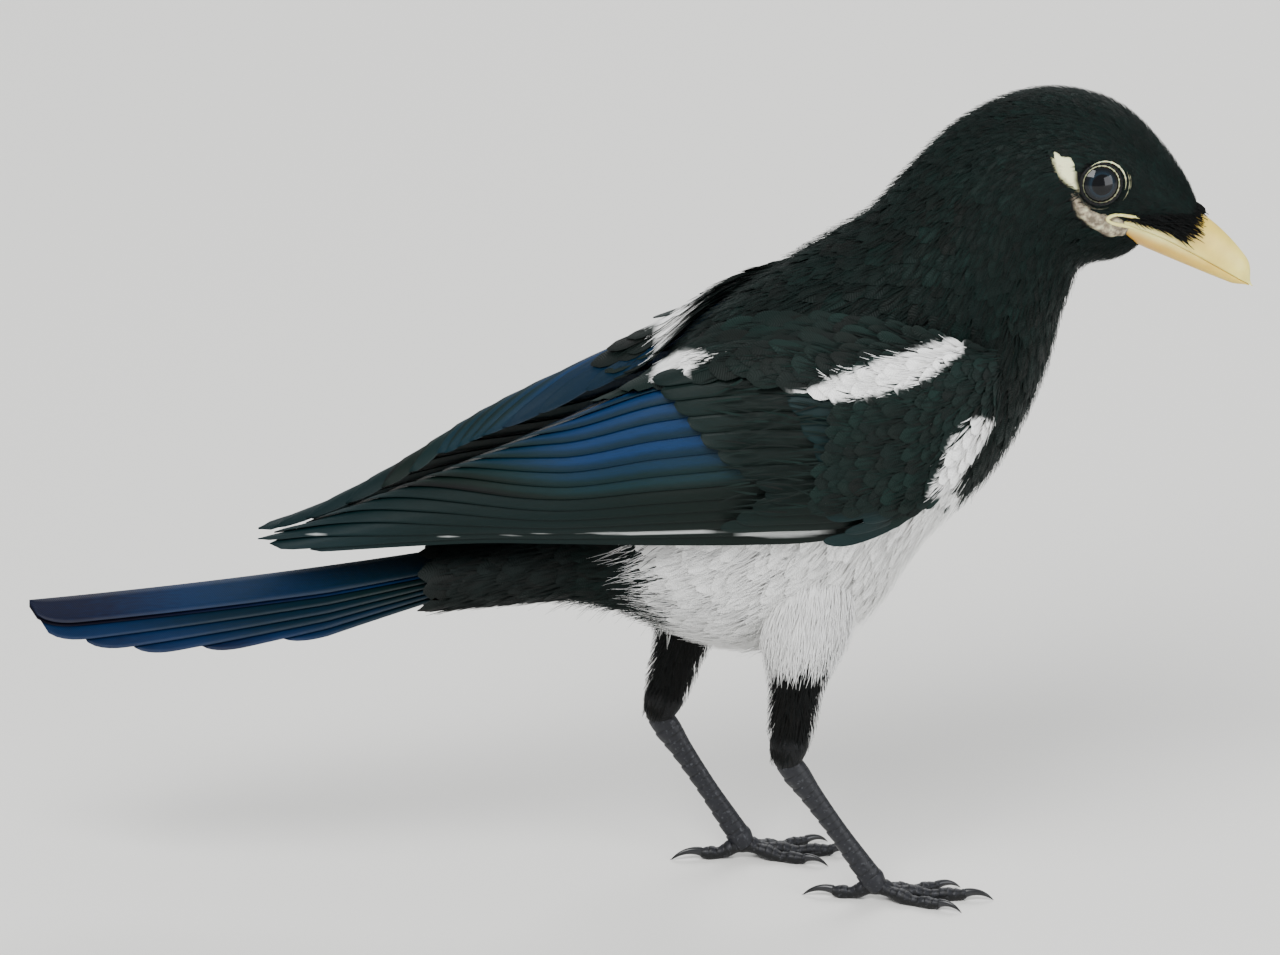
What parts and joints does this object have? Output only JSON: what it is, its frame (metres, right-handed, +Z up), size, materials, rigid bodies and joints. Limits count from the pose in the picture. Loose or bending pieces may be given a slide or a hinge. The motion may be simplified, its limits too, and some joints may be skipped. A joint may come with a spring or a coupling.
{
  "type": "yellow-billed magpie",
  "caption": "Life-size still model of a young yellow-billed magpie, standing on both feet in mid-stride with its head lowered.",
  "frame": {"origin": "on the floor, under the middle of the bird's length and width", "axes": "+X towards the bill, +Y to the bird's left, +Z up"},
  "size_m": [0.3065, 0.0866, 0.2094],
  "materials": {
    "body_plumage": "soft body feathers, matt black with white belly and shoulder patches",
    "wing_feathers": "smooth flight feathers and coverts with a blue and green gloss",
    "tail_feathers": "long smooth tail feathers with a green, blue and purple gloss",
    "bill": "yellow horn, satin",
    "eye": "wet, dark blue-grey iris",
    "leg_scales": "dark grey scaled skin",
    "claw": "dark horn, satin"
  },
  "bodies": {
    "root": {"torso": "body_plumage", "neck": "body_plumage", "head": "body_plumage", "upper_mandible": "bill", "lower_mandible": "bill", "tail": "tail_feathers", "eye_right": "eye", "wing_right": "wing_feathers", "shin_right": "body_plumage", "tarsus_right": "leg_scales", "foot_right": "leg_scales", "claw_right_inner": "claw", "claw_right_middle": "claw", "claw_right_outer": "claw", "claw_right_hind": "claw", "eye_left": "eye", "wing_left": "wing_feathers", "shin_left": "body_plumage", "tarsus_left": "leg_scales", "foot_left": "leg_scales", "claw_left_inner": "claw", "claw_left_middle": "claw", "claw_left_outer": "claw", "claw_left_hind": "claw"}
  },
  "joints": []
}
